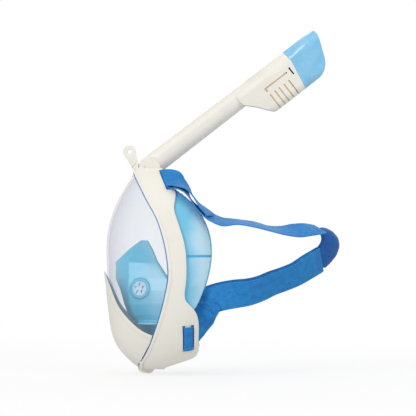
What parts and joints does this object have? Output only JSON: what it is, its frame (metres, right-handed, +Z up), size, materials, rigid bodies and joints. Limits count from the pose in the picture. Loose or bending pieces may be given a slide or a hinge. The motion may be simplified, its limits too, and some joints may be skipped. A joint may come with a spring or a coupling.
{
  "type": "full-face snorkel mask",
  "caption": "Full-face snorkel mask with a clear bulging visor, white frame, soft face skirt, elastic head straps and a folding dry-top snorkel tube.",
  "frame": {"origin": "middle of the face opening, on the plane of symmetry, at eye-to-nose height", "axes": "+X towards the wearer's left, +Y rearwards from the visor towards the back of the head, +Z up"},
  "size_m": [0.1832, 0.275, 0.3999],
  "materials": {
    "shell_white": "smooth satin injection-moulded plastic",
    "clear_lens": "clear polycarbonate, glossy",
    "gasket_blue": "soft matte seal",
    "skirt_blue": "translucent frosted silicone",
    "pocket_blue": "translucent silicone",
    "valve_blue": "moulded plastic",
    "flap_clear": "thin translucent silicone",
    "float_white": "foamed plastic",
    "seal_dark": "soft seal",
    "cap_blue": "glossy moulded plastic",
    "strap_blue": "woven elastic webbing"
  },
  "bodies": {
    "mask": {"main_frame": "shell_white", "lens": "clear_lens", "lens_gasket": "gasket_blue", "chin_cover": "shell_white", "face_skirt": "skirt_blue", "nose_mouth_pocket": "pocket_blue", "inhale_valve_seat_left": "valve_blue", "inhale_valve_seat_right": "valve_blue", "purge_valve_seat": "valve_blue", "pivot_drum": "shell_white", "pivot_seal_left": "seal_dark", "pivot_seal_right": "seal_dark", "upper_loop_left": "strap_blue", "upper_loop_right": "strap_blue", "lower_loop_left": "strap_blue", "lower_loop_right": "strap_blue", "upper_strap_left": "strap_blue", "upper_strap_right": "strap_blue", "lower_strap_left": "strap_blue", "lower_strap_right": "strap_blue", "rear_strap_panel": "strap_blue"},
    "snorkel": {"snorkel_tube": "shell_white", "pivot_cap_left": "shell_white", "pivot_cap_right": "shell_white", "valve_housing": "shell_white", "float_seat_plate": "shell_white"},
    "float": {"float_block": "float_white", "float_seal": "seal_dark"},
    "cap": {"head_cap": "cap_blue"},
    "camera_clip": {"camera_mount": "shell_white"},
    "inhale_flap_l": {"inhale_flap_left": "flap_clear"},
    "inhale_flap_r": {"inhale_flap_right": "flap_clear"},
    "purge_flap": {"purge_diaphragm": "flap_clear"}
  },
  "joints": [
    {"name": "snorkel_fold", "type": "hinge", "parent": "mask", "child": "snorkel", "pos_m": [0, -0.0527, 0.103], "axis": [1, 0, 0], "range_deg": [-30, 50]},
    {"name": "float_slide", "type": "slide", "parent": "snorkel", "child": "float", "axis": [0, 0.7912, 0.6115], "range_m": [0, 0.0062]},
    {"name": "head_cap_pull", "type": "slide", "parent": "snorkel", "child": "cap", "axis": [0, 0.7912, 0.6115], "range_m": [0, 0.012]},
    {"name": "camera_mount_slide", "type": "slide", "parent": "mask", "child": "camera_clip", "axis": [0, -0.4472, 0.8944], "range_m": [0, 0.012]},
    {"name": "inhale_flap_left_lift", "type": "slide", "parent": "mask", "child": "inhale_flap_l", "axis": [-0.9323, 0.3232, -0.1624], "range_m": [0, 0.0006], "stiffness_N_per_m": 20},
    {"name": "inhale_flap_right_lift", "type": "slide", "parent": "mask", "child": "inhale_flap_r", "axis": [0.9323, 0.3232, -0.1624], "range_m": [0, 0.0006], "stiffness_N_per_m": 20},
    {"name": "purge_diaphragm_lift", "type": "slide", "parent": "mask", "child": "purge_flap", "axis": [0, 0, -1], "range_m": [0, 0.001], "stiffness_N_per_m": 20}
  ]
}
